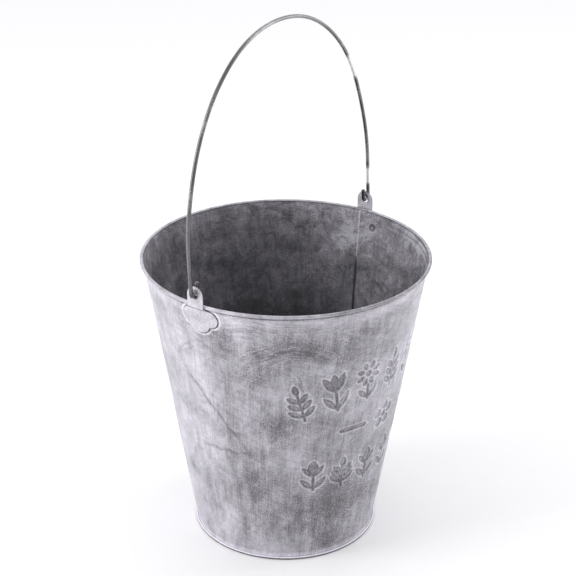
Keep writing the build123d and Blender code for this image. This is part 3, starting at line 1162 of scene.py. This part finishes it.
# == Bail: one round wire from the upturned end inside one ear to that inside the other ==
WIRE = 1.75
LEAN = radians(2.24)
HALF_SPAN = 136.19
RISE = 203.3
LEG = 34.0
SIDE_ARC = radians(32)
HOOK_WIDTH = 8.4
HOOK_BEND = 3.0
HOOK_TIP = 11.0
WIRE_SIDES = 20
WIRE_STEP = 1.5
END_STEP = 0.5
END_LENGTH = 36  # length of wire at each end that has the finer steps
WIRE_WASH = 0.36
# Smears of dried wash, painted highlights and bare dark lengths: (side, distance up the wire from
# the hole, half length, change in wash). The two strongest rows, at 141 and 23 mm up the right
# side, are painted highlights.
WIRE_MARKS = (
    # Painted highlights: this row and the next stand for bright reflections on the right side of
    # the wire.
    (1, 141, 13, 0.90),
    (1, 23, 8, 0.90),
    (1, 47, 10, 0.20),
    (1, 178, 14, 0.14),
    (1, 90, 30, 0.10),
    (1, 0, 12, -0.20),
    (-1, -4, 12, -0.16),
    (-1, 142, 7, 0.20),
    (-1, 205, 22, -0.10),
    (-1, 272, 34, 0.14),
    (-1, 105, 12, -0.10),
)


def bail_half():
    """Right half of the wire's middle line as (across, up) from the pivot, tip to top."""
    rise = RISE - LEG
    side_radius = (rise * cos(SIDE_ARC) - HALF_SPAN * (1 - sin(SIDE_ARC))) / (
        sin(SIDE_ARC) * cos(SIDE_ARC) - (1 - cos(SIDE_ARC)) * (1 - sin(SIDE_ARC))
    )
    top_radius = (HALF_SPAN - side_radius * (1 - cos(SIDE_ARC))) / cos(SIDE_ARC)
    stub = HALF_SPAN - HOOK_WIDTH
    tip = np.stack([np.full(6, stub), np.linspace(HOOK_TIP, HOOK_BEND, 6)], 1)
    turn_in = arc((stub + HOOK_BEND, HOOK_BEND), HOOK_BEND, pi, 1.5 * pi, 9)
    turn_out = arc((HALF_SPAN - HOOK_BEND, HOOK_BEND), HOOK_BEND, -pi / 2, 0, 9)
    leg = np.stack([np.full(16, HALF_SPAN), np.linspace(HOOK_BEND, LEG, 17)[1:]], 1)
    side = arc((HALF_SPAN - side_radius, LEG), side_radius, 0, SIDE_ARC, 60)[1:]
    top = arc((0, RISE - top_radius), top_radius, SIDE_ARC, pi / 2, 60)[1:]
    return np.concatenate([tip, turn_in, turn_out, leg, side, top])


def hole_length():
    """Length of wire from its tip to the height of the ear's hole on the outside."""
    return HOOK_TIP - HOOK_BEND + pi * HOOK_BEND + HOOK_WIDTH - 2 * HOOK_BEND - HOOK_BEND


def bail_line():
    """The whole wire's middle line as (across, up), and how far along it each point is."""
    half = bail_half()
    path = np.concatenate([half, (half * [-1, 1])[-2::-1]])
    length = run_length(path)
    full = length[-1]
    even = np.linspace(0, full, int(full / WIRE_STEP))
    even = even[(even > END_LENGTH) & (even < full - END_LENGTH)]
    end = np.arange(0, END_LENGTH, END_STEP)
    along = np.concatenate([end, even, full - end[::-1]])
    return walk(path, length, along), along


def tube_faces(rings, sides):
    """Quads of a tube with a flat face at each end."""
    faces = []
    for i in range(rings - 1):
        for j in range(sides):
            a, b = i * sides + j, i * sides + (j + 1) % sides
            faces.append([a, a + sides, b + sides, b])
    last = (rings - 1) * sides
    return faces + [list(range(sides)), list(range(last, last + sides))[::-1]]


def wire_wash(path, from_end):
    """How much dried wash is on the wire, 0 to 1, with painted highlights added."""
    wash = np.full(len(path), WIRE_WASH)
    up_wire = from_end - hole_length()
    for side, distance, half_length, change in WIRE_MARKS:
        there = np.sign(path[:, 0]) == side
        wash = wash + change * there * np.exp(-(((up_wire - distance) / half_length) ** 4))
    return wash - 0.30 * (1 - smooth(from_end, 3.0, 8.0))


def build_bail(material):
    path, along = bail_line()
    from_end = np.minimum(along, along[-1] - along)
    free = smooth(from_end, 60, 120)
    sway = free * (0.5 * np.sin(along / 37) + 0.3 * np.sin(along / 17 + 1))
    across = path_normals(path)
    path[:, 1] += free * 0.35 * (np.sin(along / 29) - 1) * np.abs(across[:, 1])
    ring = np.arange(WIRE_SIDES) * 2 * pi / WIRE_SIDES
    tip_round = np.sqrt(np.clip(1 - np.clip(1 - from_end / 0.6, 0, 1) ** 2, 0.02, 1))
    radius = (WIRE * (0.55 + 0.45 * tip_round))[:, None]
    spread = across[:, None] * (np.cos(ring) * radius)[..., None]
    x = path[:, None, 0] + spread[..., 0]
    up = path[:, None, 1] + spread[..., 1]
    aside = sway[:, None] + np.sin(ring) * radius
    y = up * sin(LEAN) + aside * cos(LEAN)
    z = PIVOT_Z + up * cos(LEAN) - aside * sin(LEAN)
    verts = np.stack([x, y, z], -1).reshape(-1, 3)
    faces = tube_faces(len(path), WIRE_SIDES)
    bail, _ = make_object("bail_wire", verts, faces, [material], sharp=60)
    attach(bail, "wash", np.repeat(wire_wash(path, from_end), WIRE_SIDES))
    return bail


# == Put the pieces together ==
outside = washed_zinc()
inside = dark_zinc()
plate = washed_plate()

wall = build_wall(outside, inside)
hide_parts("wall")
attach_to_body(wall, "bucket")

base = build_base(outside, inside)
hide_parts("base_pan")
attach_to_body(base, "bucket")

for node, turn in (("right_ear", 0), ("left_ear", 180)):
    ear = build_ear(node + "_plate", turn, plate)
    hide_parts(node)
    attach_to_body(ear, "bucket")

bail = build_bail(greyed_wire())
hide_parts("bail")
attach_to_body(bail, "bail")

rim_wire = frame["nodes"]["rim_wire"]
rim_wire.data.materials.clear()
rim_wire.data.materials.append(core_steel())

# == Studio: a pale floor, soft lights and a long-lens camera ==
WORLD_LEVEL = 1.1
WORLD_BEHIND_CAMERA = 0.65
FLOOR_SIZE = 14.0
bpy.ops.mesh.primitive_plane_add(size=FLOOR_SIZE, location=(0, 0, 0))
floor = bpy.context.object
floor.name = "studio_floor"
floor.data.materials.append(studio_floor())

VIEW_TURN = radians(34.96)
CAMERA_DISTANCE = 1.3046
CAMERA_HEIGHT = 0.8432
CAMERA_PITCH = radians(25.014)
CAMERA_ROLL = 0.00264
CAMERA_LENS = 99.99
CAMERA_SHIFT = 0.00387
SOFTBOX = (0.8, 1.4)
SOFTBOX_AIM = (0, 0, 0.15)
forward = Vector((cos(VIEW_TURN), sin(VIEW_TURN), 0))
right = Vector((forward.y, -forward.x, 0))


def area_light(name, across, back, up, power):
    """A soft light placed by how far right, behind and above the object it is."""
    lamp = bpy.data.lights.new(name, "AREA")
    lamp.shape = "RECTANGLE"
    lamp.size, lamp.size_y = SOFTBOX
    lamp.energy = power
    thing = bpy.data.objects.new(name, lamp)
    thing.location = right * across + forward * back + Vector((0, 0, up))
    aim = Vector(SOFTBOX_AIM) - thing.location
    thing.rotation_euler = aim.to_track_quat("-Z", "Y").to_euler()
    bpy.context.scene.collection.objects.link(thing)


area_light("left_softbox", -1.6, -0.5, 0.8, 16)
area_light("right_softbox", 1.6, 0.5, 0.8, 8)


def studio_world():
    """Even white surroundings that are dimmer from behind the camera."""
    world = bpy.data.worlds.new("studio")
    bpy.context.scene.world = world
    n = Nodes(world)
    place = n.add("TexCoord", out="Generated")
    facing = n.add("VectorMath", {0: place, 1: -forward}, out="Value", operation="DOT_PRODUCT")
    levels = {"To Min": WORLD_LEVEL, "To Max": WORLD_BEHIND_CAMERA}
    level = n.add("MapRange", {"Value": facing, "From Min": 0.0, **levels})
    shader = n.add("Background", {"Color": (0.985, 0.98, 1.0, 1.0), "Strength": level})
    n.add("OutputWorld", {"Surface": shader})


studio_world()
camera = bpy.data.cameras.new("camera")
camera.lens = CAMERA_LENS
camera.sensor_width = 36.0
camera.shift_x = CAMERA_SHIFT
camera.clip_end = 30.0
camera_object = bpy.data.objects.new("camera", camera)
camera_object.location = forward * -CAMERA_DISTANCE + Vector((0, 0, CAMERA_HEIGHT))
looking = Euler((pi / 2 - CAMERA_PITCH, 0, VIEW_TURN - pi / 2)).to_matrix()
camera_object.rotation_euler = (looking @ Matrix.Rotation(CAMERA_ROLL, 3, "Z")).to_euler()
bpy.context.scene.collection.objects.link(camera_object)
bpy.context.scene.camera = camera_object
bpy.context.scene.view_settings.view_transform = "Standard"
